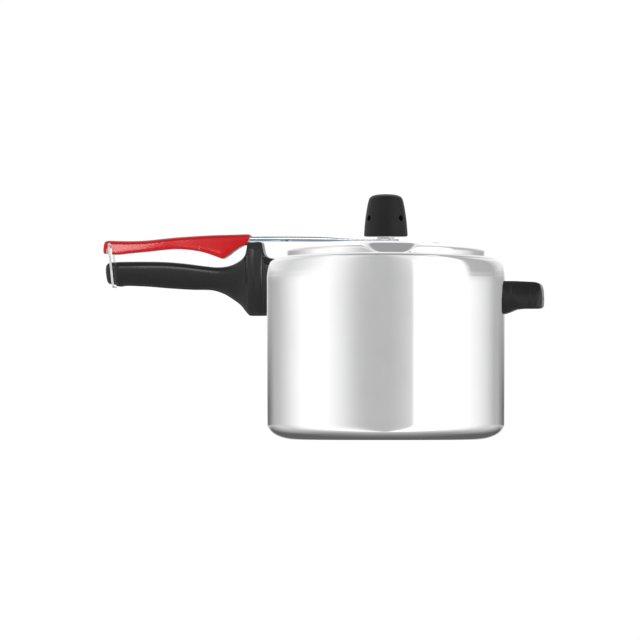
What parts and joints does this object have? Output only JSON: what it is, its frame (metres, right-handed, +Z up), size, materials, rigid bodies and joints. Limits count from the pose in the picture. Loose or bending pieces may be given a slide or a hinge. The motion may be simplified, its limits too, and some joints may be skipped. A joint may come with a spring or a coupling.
{
  "type": "stovetop pressure cooker",
  "caption": "Aluminium stovetop pressure cooker with an oval inner lid pulled up by a lever bar and handle, a wire bail latch and a weighted vent valve.",
  "frame": {"origin": "centre of the pot's flat base, on the surface it stands on", "axes": "+Z up; the long pot handle and the lid handle point towards -X, the helper handle towards +X; the object is symmetric about the XZ plane apart from the safety plug"},
  "size_m": [0.3739, 0.2024, 0.2087],
  "materials": {
    "polished_aluminium": "polished",
    "bright_steel": "bright rolled",
    "zinc_plated_steel": "plated",
    "black_phenolic": "moulded satin",
    "red_phenolic": "moulded gloss",
    "silicone": "matt",
    "safety_silicone": "matt"
  },
  "bodies": {
    "pot": {"pot_body": "polished_aluminium", "pot_handle": "black_phenolic", "pot_handle_bracket": "zinc_plated_steel", "pot_handle_rivet_1": "polished_aluminium", "pot_handle_rivet_2": "polished_aluminium", "pot_handle_screw": "zinc_plated_steel", "pot_handle_nut": "zinc_plated_steel", "helper_handle": "black_phenolic", "helper_bracket": "zinc_plated_steel", "helper_rivet_1": "polished_aluminium", "helper_rivet_2": "polished_aluminium", "helper_screw": "zinc_plated_steel"},
    "lid_lever": {"lid_plate": "polished_aluminium", "lid_gasket": "silicone", "lid_bar": "bright_steel", "lid_handle": "red_phenolic", "lid_handle_screw_1": "zinc_plated_steel", "lid_handle_screw_2": "zinc_plated_steel", "vent_stem": "bright_steel", "vent_stem_seal": "silicone", "vent_nut": "bright_steel", "safety_plug": "safety_silicone"},
    "vent_weight": {"weight_cover": "black_phenolic", "weight_core": "zinc_plated_steel", "weight_ring": "zinc_plated_steel"},
    "bail": {"latch_bail": "bright_steel"}
  },
  "joints": [
    {"name": "lid_lever_rock", "type": "hinge", "parent": "pot", "child": "lid_lever", "pos_m": [-0.1082, 0, 0.1684], "axis": [0, 1, 0], "range_deg": [0, 8]},
    {"name": "vent_weight_lift", "type": "slide", "parent": "lid_lever", "child": "vent_weight", "axis": [0, 0, 1], "range_m": [0, 0.025]},
    {"name": "bail_swing", "type": "hinge", "parent": "lid_lever", "child": "bail", "pos_m": [-0.2348, 0, 0.1659], "axis": [0, 1, 0], "range_deg": [0, 150]}
  ],
  "couplings": [
    {"joint": "bail_swing", "follows": "lid_lever_rock", "ratio": 18}
  ]
}
